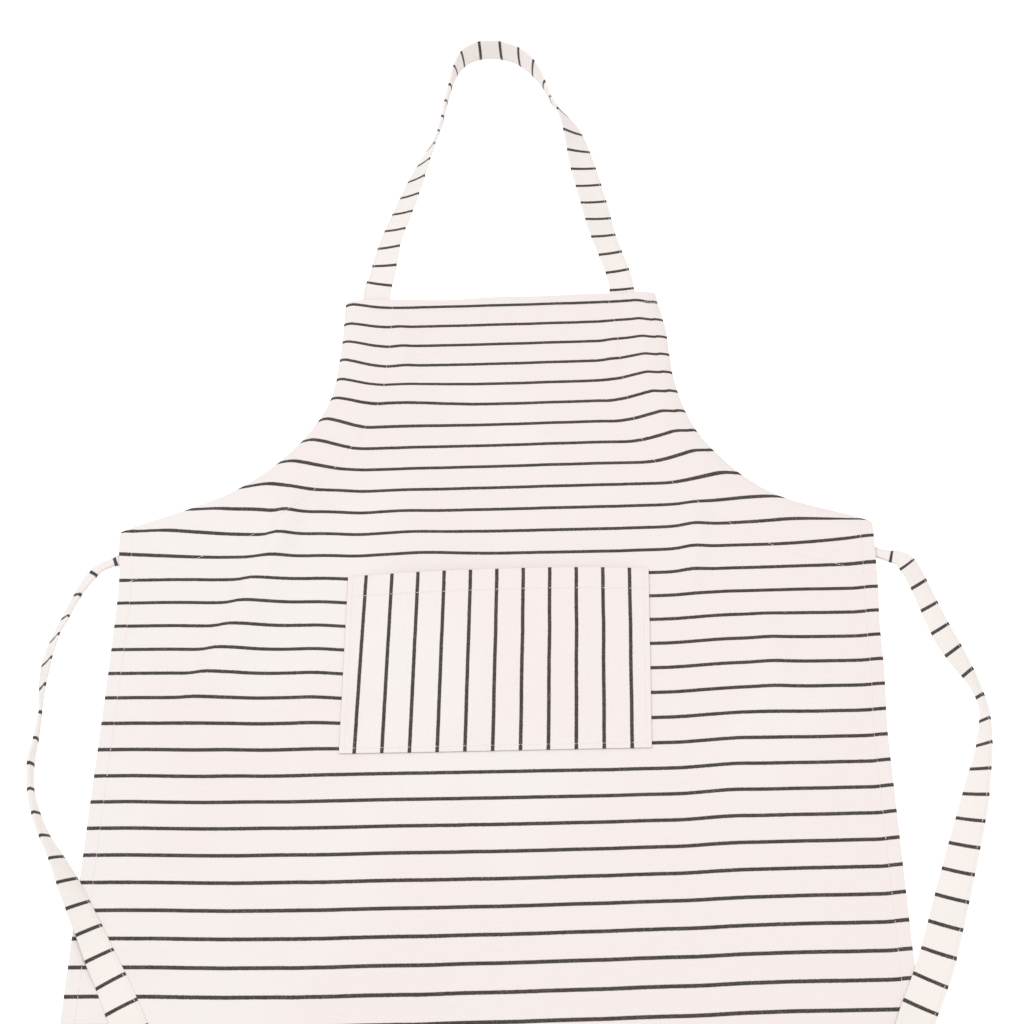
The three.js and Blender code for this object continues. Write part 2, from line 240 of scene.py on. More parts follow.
def threadFinish():
    s = Shader("sewingThread")
    place = s.add("TexCoord", None, (), "Object")
    twist = s.noise(place, 1400, 2)
    colour = s.mix(twist.ramp(0.3, 0.7), threadColours["dark"], threadColours["light"])
    bump = s.add("Bump", None, {"Strength": 0.3, "Distance": 0.1 * mm, "Height": twist})
    return s.finish({"Roughness": 0.8, "Specular IOR Level": 0.25}, {"Base Color": colour, "Normal": bump})


bodyCotton = stripedCotton("bodyCotton", start=434 * mm)
pocketCotton = stripedCotton("pocketCotton", stripeWidth=3.4 * mm)
facingCotton = stripedCotton("facingCotton", stripes=False)
sewingThread = threadFinish()
print("finishes ready")


# mesh helpers

def meshObject(name, vertices, faces, cloth, material):
    mesh = bpy.data.meshes.new(name)
    mesh.from_pydata(np.asarray(vertices, float).tolist(), [], faces)
    layer = mesh.uv_layers.new(name="Cloth")
    corner = np.empty(len(mesh.loops), np.int32)
    mesh.loops.foreach_get("vertex_index", corner)
    layer.data.foreach_set("uv", np.asarray(cloth, np.float32)[corner].ravel())
    mesh.polygons.foreach_set("use_smooth", np.ones(len(mesh.polygons), bool))
    mesh.materials.append(material)
    obj = bpy.data.objects.new(name, mesh)
    scene.collection.objects.link(obj)
    return obj


def clothSolid(name, top, bottom, cloth, material):
    # a closed sheet from two grids of points; rows run down the cloth, columns left to right
    rows, columns = top.shape[:2]
    index = np.arange(rows * columns).reshape(rows, columns)
    under = index + rows * columns

    def quads(a, b, c, d):
        return np.stack([a.ravel(), b.ravel(), c.ravel(), d.ravel()], 1).tolist()

    faces = quads(index[:-1, :-1], index[1:, :-1], index[1:, 1:], index[:-1, 1:])
    faces += quads(under[:-1, 1:], under[1:, 1:], under[1:, :-1], under[:-1, :-1])
    faces += quads(index[1:, 0], index[:-1, 0], under[:-1, 0], under[1:, 0])
    faces += quads(index[:-1, -1], index[1:, -1], under[1:, -1], under[:-1, -1])
    faces += quads(index[-1, 1:], index[-1, :-1], under[-1, :-1], under[-1, 1:])
    faces += quads(index[0, :-1], index[0, 1:], under[0, 1:], under[0, :-1])
    points = np.concatenate([top.reshape(-1, 3), bottom.reshape(-1, 3)])
    return meshObject(name, points, faces, np.concatenate([cloth.reshape(-1, 2)] * 2), material)


def smoothStep(x, low, high):
    t = np.clip((x - low) / (high - low), 0, 1)
    return t * t * (3 - 2 * t)


def hill(x, middle, width):
    return np.exp(-(((x - middle) / width) ** 2))


# how the cloth has slid and drawn in on its cut outline: the bib to one side, the right wing down

sway = {
    "bib": 10.5 * mm, "bibFrom": 0.195, "bibTo": 0.33,
    "top": 4.0 * mm, "topFrom": 0.385, "topTo": 0.44, "topNarrow": 0.010,
    "wing": 10.0 * mm, "wingAside": -3.5 * mm, "corner": 7.5 * mm,
    "leftIn": 4.0 * mm, "leftOut": 2.5 * mm, "leftUp": 6.0 * mm, "rightIn": 3.6 * mm,
}


def laid(x, y, narrowed=1):
    # where a point of the flat cloth lies; straps lie free of the skirt, so they aren't narrowed with it
    bib = sway["bib"] * smoothStep(y, sway["bibFrom"], sway["bibTo"])
    top = smoothStep(y, sway["topFrom"], sway["topTo"])
    beyond = 1 - smoothStep(y, 0.45, 0.53)
    aside = (bib - (sway["top"] + sway["topNarrow"] * x) * top) * beyond
    wing = smoothStep(x, 0.205, 0.30) * smoothStep(y, 0.06, 0.15) * (1 - smoothStep(y, 0.215, 0.275))
    corner = smoothStep(x, 0.28, 0.36) * smoothStep(y, 0.03, 0.16) * beyond
    aside = aside + sway["wingAside"] * wing + sway["corner"] * corner * (1 - smoothStep(x, 0.361, 0.40))
    down = sway["wing"] * wing * (1 - 0.4 * corner) * (1 - smoothStep(x, 0.361, 0.40))
    left = smoothStep(-x, 0.28, 0.36) * beyond * (1 - smoothStep(-x, 0.38, 0.41))
    drawnIn = sway["leftIn"] * smoothStep(-x, 0.0, 0.34) * (1 - smoothStep(y, 0.085, 0.15))
    drawnIn = drawnIn * (1 - smoothStep(-x, 0.38, 0.41))
    drawnIn = drawnIn - sway["rightIn"] * smoothStep(x, 0.0, 0.34) * (1 - smoothStep(y, -0.07, 0.01))
    pushedOut = sway["leftOut"] * left * smoothStep(y, 0.11, 0.165)
    up = sway["leftUp"] * left * smoothStep(y, 0.03, 0.12) * (1 - 0.35 * smoothStep(y, 0.13, 0.165))
    return x + aside + drawnIn * narrowed - pushedOut, y - down + up


def laidLine(line):
    line = line.copy()
    line[:, 0], line[:, 1] = laid(line[:, 0], line[:, 1], 0)
    return line


# free straps: neck loop and waist ties
# route points are x, y, roll in degrees and the height that the lower edge rests at, in millimetres

strap = {
    "width": 30 * mm,
    "thickness": 2.0 * mm,
    "stitchInset": 2.8 * mm,      # from the outer edge
    "unsewnSteps": 6,             # at its start, inside the casing
    "curl": 0.9 * mm,
    "fuller": 0.45,               # how much thicker it gets where it is pinched
    "lowest": 0.1 * mm,
    "step": 4 * mm,
    "stripeWidth": 3.3 * mm,
    "light": (0.662, 0.614, 0.594, 1),
    # painted shade tint: the broad patches mix the strap towards this cooler grey
    "shadeTint": (0.640, 0.610, 0.580, 1),
}
onFloor, onSkirt, onRightTie, strapBase = 0.5, 2.6, 4.9, 1.1
mouthX, startY = 131.6, 445.3
wingX, wingY = 0.913545, -0.406737
tieStart = (376.444, 119.650)


def alongTie(side, distance):
    return [side * (tieStart[0] + wingX * distance), tieStart[1] + wingY * distance, 0, strapBase]


neckPoints = [
    [-mouthX - 1.75, startY - 30, 0, strapBase], [-mouthX, startY, 0, strapBase],
    [-mouthX, startY + 8, 0, strapBase], [-125, 474, 10, onFloor], [-113, 513, 25, onFloor],
    [-98, 561, 31, onFloor], [-84, 608, 42, onFloor], [-70, 654, 60, onFloor], [-62, 686, 80, onFloor],
    [-56, 726, 88, onFloor], [-48, 760, 90, onFloor], [-37, 779, 88, onFloor], [-19, 789, 86, onFloor],
    [4, 788, 86, onFloor], [27, 776, 88, onFloor], [43, 757, 90, onFloor], [54, 738, 88, onFloor],
    [63, 714, 78, onFloor], [76, 688, 57, onFloor], [85, 663, 43, onFloor], [91, 638, 30, onFloor],
    [96, 614, 17, onFloor], [106, 568, 12, onFloor], [115, 521, 13, onFloor], [124, 478, 8, onFloor],
    [mouthX - 3.5, startY + 8, 0, strapBase], [mouthX - 3, startY, 0, strapBase],
    [mouthX, startY - 30, 0, strapBase],
]
rightTiePoints = [
    alongTie(1, -43), alongTie(1, -20), alongTie(1, 0.3), alongTie(1, 13), [396, 98, -38, onFloor],
    [402, 77, -38, onFloor], [409, 52, -34, onFloor], [417, 27, -36, onFloor], [427, 4, -42, onFloor],
    [437, -18, -58, onFloor], [443, -41, -52, onFloor], [441, -66, -50, onFloor], [436, -90, -47, onFloor],
    [429, -113, -36, onFloor], [422, -137, -28, onFloor], [414, -160, -22, 1.5], [406, -183, -16, 2.2],
    [398, -206, -12, onSkirt], [390, -229, -8, onSkirt], [382, -252, -4, onSkirt], [374, -274, 0, onSkirt],
    [365, -294, 0, onSkirt], [355, -315, 0, onSkirt], [346, -336, 0, onSkirt], [333, -360, 0, onSkirt],
    [315, -381, 0, onSkirt], [291, -398, 0, onSkirt], [262, -409, 0, onSkirt], [226, -414, 0, onSkirt],
    [170, -415, 0, onSkirt], [90, -413, 0, onSkirt], [10, -411, 0, onSkirt], [-62, -412, 0, onSkirt],
]
leftTiePoints = [
    # past 90 degrees the tie has turned over and shows its other face
    alongTie(-1, -38), alongTie(-1, -18), alongTie(-1, 0.3), [-386, 109, 10, strapBase],
    [-395, 92, 38, onFloor], [-402, 72, 46, onFloor], [-408, 47, 55, onFloor], [-412, 20, 55, onFloor],
    [-413, -6, 60, onFloor], [-413, -30, 74, onFloor], [-414, -54, 90, onFloor], [-415, -78, 104, onFloor],
    [-412, -103, 112, onFloor], [-403, -128, 116, onFloor], [-391, -151, 122, 1], [-377, -172, 134, 1.8],
    [-364, -194, 143, 2.4], [-352, -216, 154, onSkirt], [-340, -238, 166, onSkirt],
    [-328, -261, 174, onSkirt], [-315, -284, 180, onSkirt], [-303, -307, 180, onSkirt],
    [-291, -329, 180, onSkirt], [-275, -349, 180, onSkirt], [-251, -366, 180, onSkirt],
    [-222, -377, 180, onSkirt], [-186, -384, 180, onSkirt], [-130, -391, 180, onSkirt],
    [-92, -396, 180, onRightTie], [-40, -401, 180, onRightTie], [40, -405, 180, onRightTie],
    [128, -407, 180, onRightTie],
]


# distance along the strap in millimetres, and the share of its width that it lies there
neckGather = [
    (0, 1.0), (30, 0.95), (150, 0.97), (199, 0.95), (235, 0.78), (255, 0.50), (281, 0.34), (335, 0.32),
    (352, 0.55), (372, 0.9), (395, 1.0), (470, 1.0), (487, 0.8), (502, 0.45), (520, 0.42), (538, 0.75),
    (562, 1.0), (700, 0.97),
    (765, 0.86), (800, 0.84), (830, 1.0),
]
leftGather = [
    (0, 1.0), (8, 0.8), (18, 0.26), (34, 0.26), (48, 0.30), (64, 0.34), (97, 0.44), (110, 0.70), (122, 0.90),
    (147, 0.96), (165, 0.88), (180, 0.66), (197, 0.40), (222, 0.24), (241, 0.36), (255, 0.27), (268, 0.21),
    (292, 0.33), (322, 0.42), (347, 0.54), (373, 0.72), (396, 0.74), (421, 0.78), (446, 0.86), (509, 1.0),
]
rightGather = [
    (0, 1.0), (10, 0.8), (22, 0.26), (33, 0.30), (46, 0.44), (60, 0.54), (80, 0.60), (96, 0.58),
    (122, 0.61), (148, 0.66), (173, 0.60),
    (197, 0.42), (221, 0.24), (246, 0.48), (271, 0.64), (295, 0.77), (320, 0.86),
    (368, 0.92), (417, 0.97), (465, 1.0),
]


def smoothRoute(points):
    # an even smooth line through the points, with the roll along it
    p = np.array(points, float)
    tilt = np.radians(np.abs(p[:, 2]))
    height = p[:, 3] * mm + np.sin(tilt) * strap["width"] / 2 + np.abs(np.cos(tilt)) * strap["thickness"] / 2
    knots = np.column_stack([p[:, 0] * mm, p[:, 1] * mm, height, p[:, 2] * mm])
    knots = np.vstack([2 * knots[0] - knots[1], knots, 2 * knots[-1] - knots[-2]])
    line = []
    t = np.linspace(0, 1, 24, endpoint=False)[:, None]
    for a, b, c, d in zip(knots, knots[1:], knots[2:], knots[3:]):
        ab, bc, cd = (np.linalg.norm(q[:3] - r[:3]) ** 0.5 for q, r in ((b, a), (c, b), (d, c)))
        out = ((b - a) / ab - (c - a) / (ab + bc) + (c - b) / bc) * bc
        into = ((c - b) / bc - (d - b) / (bc + cd) + (d - c) / cd) * bc
        line.append(b + out * t + (3 * (c - b) - 2 * out - into) * t**2 + (2 * (b - c) + out + into) * t**3)
    line = np.vstack(line + [knots[-2][None]])
    reach = np.concatenate([[0], np.cumsum(np.linalg.norm(np.diff(line[:, :3], axis=0), axis=1))])
    count = int(round(reach[-1] / strap["step"]))
    even = np.linspace(0, reach[-1], count + 1)
    return np.stack([np.interp(even, reach, line[:, k]) for k in range(4)], 1), even


def strapFrames(line, innerSide):
    along = np.gradient(line[:, :3], axis=0)
    along /= np.linalg.norm(along, axis=1)[:, None]
    side = np.cross(along, [0, 0, 1])
    side /= np.linalg.norm(side, axis=1)[:, None]
    roll = (-np.radians(line[:, 3] / mm) * innerSide)[:, None]
    side = side * np.cos(roll) + np.cross(along, side) * np.sin(roll)
    return side, np.cross(side, along)


# half sections of the doubled strap: place across (share of the half width) and half thickness
strapSection = np.array([
    (-1.0, 0.30), (-0.975, 0.72), (-0.92, 0.95), (-0.86, 1.0), (-0.815, 0.80), (-0.77, 1.0), (-0.6, 1.06),
    (-0.3, 1.08), (0.0, 1.08), (0.3, 1.08), (0.6, 1.06), (0.84, 1.0), (0.94, 0.92), (0.98, 0.7), (1.0, 0.30),
])


def strapGather(reach, gather):
    # how wide the strap lies along its length: it is pinched where it twists and where it leaves a casing
    if not gather:
        return np.ones_like(reach)
    stations, shares = np.array(gather, float).T
    wide = np.interp(reach / mm, stations, shares)
    return np.convolve(np.pad(wide, 3, "edge"), np.hanning(9)[1:-1] / np.hanning(9).sum(), "valid")


def strapMesh(name, line, reach, innerSide, material, gather=None, slip=0.0):
    side, up = strapFrames(line, innerSide)
    share, half = strapSection[:, 0] * innerSide, strapSection[:, 1] * strap["thickness"] / 2
    across = np.concatenate([share, share[::-1]]) * strap["width"] / 2
    lift = np.concatenate([half, -half[::-1]])
    curl = strap["curl"] * ((across / strap["width"] * 2) ** 2 - 0.33)
    if innerSide < 0:
        across, lift, curl = across[::-1], lift[::-1], curl[::-1]
    wide = strapGather(reach, gather)[:, None]
    rings = line[:, None, :3] + side[:, None] * (across * wide)[..., None]
    rings = rings + up[:, None] * (lift / wide ** strap["fuller"] + curl * wide)[..., None]
    rings[..., 2] = np.maximum(rings[..., 2], strap["lowest"])
    count, around = rings.shape[:2]
    index = np.arange(count * around).reshape(count, around)
    turned = np.roll(index, -1, axis=1)
    faces = np.stack([index[:-1], turned[:-1], turned[1:], index[1:]], -1).reshape(-1, 4)
    faces = faces[:, ::-1].tolist()
    faces.append(index[0].tolist())
    faces.append(index[-1][::-1].tolist())
    # round the neck the loop's stripes run a little ahead
    ahead = reach + slip * smoothStep(reach, 0.352, 0.382) * (1 - smoothStep(reach, 0.52, 0.60))
    cloth = np.stack([np.tile(across, (count, 1)), np.tile(ahead[:, None], (1, around))], -1)
    return meshObject(name, rings.reshape(-1, 3), faces, cloth.reshape(-1, 2), material)


def strapFinish(name, start, pitch):
    return stripedCotton(name, strap["light"], strap["shadeTint"], strap["stripeWidth"], start, pitch,
                         shadeScale=9)


freeStraps = {
    "neckStrap": {"points": neckPoints, "innerSide": 1, "start": 0.048, "pitch": 24.25 * mm,
                  "gather": neckGather, "slip": 11.5 * mm},
    "tieLeft": {"points": leftTiePoints, "innerSide": -1, "start": 0.0235, "pitch": 24.95 * mm,
                "gather": leftGather, "slip": 0.0},
    "tieRight": {"points": rightTiePoints, "innerSide": 1, "start": 0.0435, "pitch": 24.45 * mm,
                 "gather": rightGather, "slip": 0.0},
}
for strapName, facts in freeStraps.items():
    facts["line"], facts["reach"] = smoothRoute(facts["points"])
    facts["line"] = laidLine(facts["line"])
    wide, roll = strapGather(facts["reach"], facts["gather"]), np.radians(facts["line"][:, 3] / mm)
    facts["line"][:, 2] += (wide - 1) * np.abs(np.sin(roll)) * strap["width"] / 2
    facts["line"][:, 2] += (1 / wide ** strap["fuller"] - 1) * np.abs(np.cos(roll)) * strap["thickness"] / 2
    facts["finish"] = strapFinish(strapName + "Cotton", facts["start"], facts["pitch"])
    facts["piece"] = strapMesh(strapName, facts["line"], facts["reach"], facts["innerSide"],
                               facts["finish"], facts["gather"], facts["slip"])
    print("strap", strapName, "is", round(facts["reach"][-1], 3), "m long")


# armhole outline: a straight flare, an arc and a straight wing

armhole = {"flare": np.radians(4), "wing": np.radians(24), "radius": 175 * mm, "bibHalf": 164 * mm}
body = {
    "topY": 440 * mm, "hemY": -440 * mm, "sideX": 360 * mm, "waistY": 162 * mm, "foldY": 172 * mm,
    "cloth": 0.85 * mm,
    "rest": 1.0 * mm,             # top face of the cloth where it lies flat
    "hem": 12 * mm,
    "hemSoft": 1.6 * mm,
    "hemRise": 0.4 * mm,
    "topHem": 13.5 * mm,
    "casing": 51 * mm,            # armhole edge to the casing's seam, at the bib top
    "casingGrows": 8 * mm,        # and how much more at the side edge
}
flareNormal = np.array([-np.cos(armhole["flare"]), -np.sin(armhole["flare"])])
wingNormal = np.array([-np.sin(armhole["wing"]), -np.cos(armhole["wing"])])
flareReach = flareNormal @ [armhole["bibHalf"], body["topY"]]
wingReach = wingNormal @ [body["sideX"], body["waistY"]]
arcFrom, arcTo = 184, 246         # degrees round the arc's centre, where it meets the flare and the wing
arcCentre = np.linalg.solve([flareNormal, wingNormal],
                            [flareReach - armhole["radius"], wingReach - armhole["radius"]])


def armholeX(y, inset):
    y = np.asarray(y, float)
    arcTop, arcFoot = (arcCentre[1] + n[1] * (armhole["radius"] + inset) for n in (flareNormal, wingNormal))
    onFlare = (flareReach + inset - y * flareNormal[1]) / flareNormal[0]
    onWing = (wingReach + inset - y * wingNormal[1]) / wingNormal[0]
    drop = np.clip((armhole["radius"] + inset) ** 2 - (y - arcCentre[1]) ** 2, 0, None)
    onArc = arcCentre[0] - np.sqrt(drop)
    return np.where(y >= arcTop, onFlare, np.where(y < arcFoot, onWing, onArc))


def armholeInset(x, y):
    dx, dy = np.abs(x) - arcCentre[0], y - arcCentre[1]
    angle = np.degrees(np.arctan2(dy, dx)) % 360
    onFlare = np.abs(x) * flareNormal[0] + y * flareNormal[1] - flareReach
    onWing = np.abs(x) * wingNormal[0] + y * wingNormal[1] - wingReach
    onArc = np.hypot(dx, dy) - armhole["radius"]
    return np.where(angle < arcFrom, onFlare, np.where(angle > arcTo, onWing, onArc))


def edgeX(y):
    return np.where(y > body["waistY"], armholeX(y, 0), body["sideX"])


# heights of the cloth: the filled casing, slow waves, creases, hems

casingProfile = np.array([
    (0, 0.3), (1.2, 1.3), (4, 2.8), (9, 4.3), (16, 5.4), (24, 5.8), (34, 5.4), (43, 4.7), (48, 4.2),
    (50.5, 3.8), (54, 3.7), (60, 3.2), (72, 2.2), (90, 1.1), (115, 0.3), (145, 0.0), (2000, 0.0),
]) * mm
creases = [
    # from, to, height, half width on the left and on the right of the line, all in metres
    {"from": (-0.197, 0.198), "to": (-0.211, 0.136), "height": 6.0 * mm, "left": 9 * mm, "right": 15 * mm},
    {"from": (-0.222, 0.125), "to": (-0.275, -0.010), "height": 6.0 * mm, "left": 11 * mm, "right": 30 * mm},
    {"from": (0.197, 0.178), "to": (0.190, 0.098), "height": 4.0 * mm, "left": 12 * mm, "right": 14 * mm},
    {"from": (0.255, 0.060), "to": (0.262, -0.030), "height": 1.6 * mm, "left": 14 * mm, "right": 14 * mm},
    {"from": (0.118, 0.402), "to": (0.104, 0.330), "height": 1.4 * mm, "left": 9 * mm, "right": 9 * mm},
    {"from": (-0.112, 0.420), "to": (-0.098, 0.345), "height": 1.4 * mm, "left": 9 * mm, "right": 9 * mm},
    {"from": (-0.10, 0.19), "to": (-0.05, 0.12), "height": 2.4 * mm, "left": 26 * mm, "right": 26 * mm},
    {"from": (0.26, 0.02), "to": (0.20, -0.16), "height": 1.2 * mm, "left": 22 * mm, "right": 22 * mm},
    {"from": (-0.27, -0.03), "to": (-0.16, -0.21), "height": 1.2 * mm, "left": 24 * mm, "right": 24 * mm},
]
waves = [
    # per metre in x, per metre in y, phase, height
    (11.0, 5.0, 0.4, 0.45 * mm), (-7.0, 13.0, 1.9, 0.35 * mm), (19.0, -9.0, 3.1, 0.25 * mm),
    (27.0, 16.0, 0.9, 0.16 * mm), (-33.0, 21.0, 4.4, 0.12 * mm),
]


def creaseHeight(x, y, crease):
    start, end = np.array(crease["from"]), np.array(crease["to"])
    run = end - start
    t = ((x - start[0]) * run[0] + (y - start[1]) * run[1]) / (run @ run)
    away = ((x - start[0]) * -run[1] + (y - start[1]) * run[0]) / np.hypot(*run)
    fade = smoothStep(t, -0.35, 0.25) * (1 - smoothStep(t, 0.75, 1.35))
    width = np.where(away < 0, crease["left"], crease["right"])
    return crease["height"] * hill(away, 0, width) * fade


def casingWidth(y):
    return body["casing"] + body["casingGrows"] * (1 - smoothStep(y, 0.13, 0.29))


def casingRise(x, y):
    # height of the cloth over the strap
    inset = armholeInset(x, y) * body["casing"] / casingWidth(y)
    return np.interp(inset, casingProfile[:, 0], casingProfile[:, 1]) * casingFill(y)


def casingFill(y):
    # the casing is fuller round the curve than at its two mouths
    return 0.92 + 0.22 * hill(y, 0.235, 0.075)


def clothTop(x, y):
    # height of the body cloth's top face over a place in plan
    inset = armholeInset(x, y)
    z = body["rest"] + casingRise(x, y)
    calm = smoothStep(inset, 20 * mm, 90 * mm) * smoothStep(y, -0.44, -0.30) * 0.75 + 0.25
    flutter = sum(h * (np.sin(kx * x + ky * y + p) + 1) for kx, ky, p, h in waves)
    z = z + flutter * calm
    for crease in creases:
        z = z + creaseHeight(x, y, crease)
    sideways = body["sideX"] - np.abs(x)
    below = 1 - smoothStep(y, 0.096, 0.104)
    hem, soft = body["hem"], body["hemSoft"]
    hems = (1 - smoothStep(sideways, hem - soft, hem + soft)) * below
    hems = np.maximum(hems, 1 - smoothStep(y - body["hemY"], hem - soft, hem + soft))
    hems = np.maximum(hems, 1 - smoothStep(body["topY"] - y, body["topHem"] - soft, body["topHem"] + soft))
    return z + hems * body["hemRise"]


def stripeShift(x, y):
    # how far, in millimetres until the last line, the stripes have drifted towards the bib
    inset = armholeInset(x, y)
    right = smoothStep(x, -0.02, 0.02)
    left = 1 - right
    low = smoothStep(-y, 0.12, 0.30)
    shift = -3.2 + 3.2 * smoothStep(-x, 0.12, 0.17) * smoothStep(y, -0.10, 0.0)
    shift = shift + 2.8 * smoothStep(-x, 0.20, 0.34) + 3.2 * smoothStep(x, 0.16, 0.23) * (1 - 0.7 * low)
    shift = shift + 8.0 * smoothStep(x, -0.20, 0.38) * smoothStep(-y, 0.05, 0.33)
    shift = shift + 1.5 * smoothStep(x, 0.335, 0.36)
    shift = shift + 2.5 * hill(x, -0.09, 0.07) * hill(y, 0.125, 0.03)
    shift = shift + 4.5 * hill(x, -0.10, 0.06) * hill(y, 0.312, 0.022)
    # drawn up along the armholes, less so at the bib's top corners and on the two wings
    drawn = 1 - left * (0.37 * smoothStep(y, 0.36, 0.42) + 0.45 * smoothStep(-x, 0.20, 0.26))
    drawn = drawn - right * (0.90 * smoothStep(y, 0.31, 0.44) + 0.50 * (1 - smoothStep(y, 0.18, 0.24)))
    shift = shift + 12.3 * drawn * (1 - smoothStep(inset, 0, 65 * mm)) * smoothStep(y, 0.09, 0.13)
    corner = smoothStep(x, 0.28, 0.35)
    shift = shift + corner * (2.5 * hill(y, 0.125, 0.02) - 6.0 * hill(y, 0.166, 0.012))
    edge = (1 - smoothStep(inset, 0, 18 * mm)) * smoothStep(y, 0.09, 0.13)
    shift = shift - (2.5 + 2.0 * smoothStep(y, 0.22, 0.30)) * edge
    return (shift - 0.8) * mm - casingRise(x, y) * 0.6


def bodyRows():
    return np.concatenate([
        np.linspace(440, 437.5, 4), np.linspace(436, 424, 13), np.linspace(420, 292, 34),
        np.linspace(289.5, 100, 78), np.linspace(96, -424, 128), np.linspace(-426, -437, 12),
        np.linspace(-438.2, -440, 3),
    ]) * mm


def bodyCloth():
    rows = bodyRows()
    near = np.array([0, 0.5, 1.3, 2.5, 4.2, 6.5, 9, 10.8, 11.7, 12.5, 13.6, 15.5, 18, 21.5, 25]) * mm
    inner = np.linspace(0, 1, 59)[1:]
    edge = edgeX(rows)[:, None]
    half = np.concatenate([edge - near, (edge - near[-1]) * (1 - inner)], axis=1)
    x = np.concatenate([-half, half[:, -2::-1]], axis=1)
    y = np.broadcast_to(rows[:, None], x.shape)
    z = clothTop(x, y)
    inset = armholeInset(x, y)
    laidX, laidY = laid(x, y + edgeWave(x, y))
    top = np.stack([laidX, laidY, z], -1)
    thickness = body["cloth"] * (0.55 + 0.45 * smoothStep(inset, 0, 3 * mm))
    bottom = top.copy()
    bottom[..., 2] = np.maximum(z - thickness, 0.12 * mm)
    cloth = np.stack([laidX, laidY - stripeShift(laidX, laidY)], -1)
    return clothSolid("apronCloth", top, bottom, cloth, bodyCotton)


def edgeWave(x, y):
    # the top hem isn't quite straight
    return (0.9 * np.sin(31 * x + 0.6) + 0.5 * np.sin(67 * x + 2.0)) * mm * smoothStep(y, 0.40, 0.44)


apronCloth = bodyCloth()
print("body cloth made,", len(apronCloth.data.polygons), "faces")


# casing facings: the layer under the strap, sewn along its inner edge

facing = {"top": 0.85 * mm, "cloth": 0.6 * mm, "turn": 0.25 * mm, "margin": 2 * mm, "gap": 0.08 * mm}


def facingCloth(name, side):
    rows = np.concatenate([np.linspace(439.2, 292, 40), np.linspace(289.5, 98, 80)]) * mm
    share = np.array([0, 0.015, 0.05, 0.15, 0.3, 0.5, 0.7, 0.82, 0.87, 0.895, 0.92, 0.94, 0.96, 0.98, 1.0])
    outer = np.minimum(armholeX(rows, 0.3 * mm), body["sideX"] - 0.3 * mm)[:, None]
    inner = armholeX(rows, casingWidth(rows) + facing["margin"])[:, None]
    inner = np.minimum(inner, outer - 1.5 * mm)
    x = outer + (inner - outer) * share
    x = x * side
    if side > 0:
        x = x[:, ::-1]
    y = np.broadcast_to(rows[:, None], x.shape)
    inset = armholeInset(x, y)
    # flat under the strap, then up to the body cloth where the two are sewn together
    under = clothTop(x, y) - body["cloth"] - facing["gap"]
    sewn = smoothStep(inset - casingWidth(y), -4.5 * mm, -1 * mm)
    z = np.minimum(facing["top"] * (1 - sewn) + under * sewn, np.maximum(under, 0.5 * mm))
    laidX, laidY = laid(x, y + edgeWave(x, y))
    top = np.stack([laidX, laidY, z], -1)
    bottom = top.copy()
    bottom[..., 2] = np.maximum(z - facing["cloth"] - facing["turn"] * sewn, 0.1 * mm)
    return clothSolid(name, top, bottom, np.stack([x, y], -1), facingCotton)


facings = {"casingFacingRight": facingCloth("casingFacingRight", 1),
           "casingFacingLeft": facingCloth("casingFacingLeft", -1)}
print("facings made")


# strap lengths hidden in the casings

hidden = {
    "offset": 32 * mm,            # in from the armhole edge
    "neckGap": 30.6,              # below the start of the neck loop's route, in millimetres
    "lowerStart": -43.6 * mm,     # from the tie's start, where the lower length ends
    "lowerLength": 37 * mm,
    "arcGap": 3.0 * mm,
    "foldGap": 8.5 * mm,
}


def hiddenStrap(name, points, side):
    points = [[side * x / mm, y / mm, 0, strapBase] for x, y in points]
    line, reach = smoothRoute(points)
    return strapMesh(name, laidLine(line), reach, 1, freeStraps["neckStrap"]["finish"])


def hiddenStraps():
    made = {}
    bend = armhole["radius"] + hidden["offset"]
    flareFoot = arcCentre + flareNormal * bend
    neckInside = (startY - hidden["neckGap"]) * mm
    upperRows = np.linspace(neckInside, flareFoot[1] + 0.4 * mm, 5)
    upper = [(armholeX(y, hidden["offset"]), y) for y in upperRows]
    firstAngle = np.radians(arcFrom) + hidden["arcGap"] / bend
    foldAngle = np.pi - np.arcsin((body["foldY"] + hidden["foldGap"] - arcCentre[1]) / bend)
    angles = np.linspace(firstAngle, min(foldAngle, np.radians(arcTo)), 16)
    arc = [arcCentre + bend * np.array([np.cos(a), np.sin(a)]) for a in angles]
    wingWay = np.array([wingX, wingY])
    low = np.array(tieStart) * mm + wingWay * hidden["lowerStart"]
    high = low - wingWay * hidden["lowerLength"]
    lower = [high + (low - high) * t for t in np.linspace(0, 1, 4)]
    for word, side in (("Left", -1), ("Right", 1)):
        made["strapUpper" + word] = hiddenStrap("strapUpper" + word, upper, side)
        made["strapArc" + word] = hiddenStrap("strapArc" + word, arc, side)
        made["strapLower" + word] = hiddenStrap("strapLower" + word, lower, side)
    return made


casingStraps = hiddenStraps()
print("hidden strap lengths made")


# pocket

pocket = {
    "width": 286 * mm, "height": 184 * mm, "topY": 109 * mm, "middle": 7 * mm,
    "puff": 5.2 * mm, "cloth": 0.85 * mm, "lift": 0.25 * mm,
    "hem": 22 * mm, "edge": 5 * mm, "hemRise": 0.45 * mm, "lean": 3.0 * mm,
    "taperLeft": 1.5 * mm, "taperRight": 3.5 * mm,
}


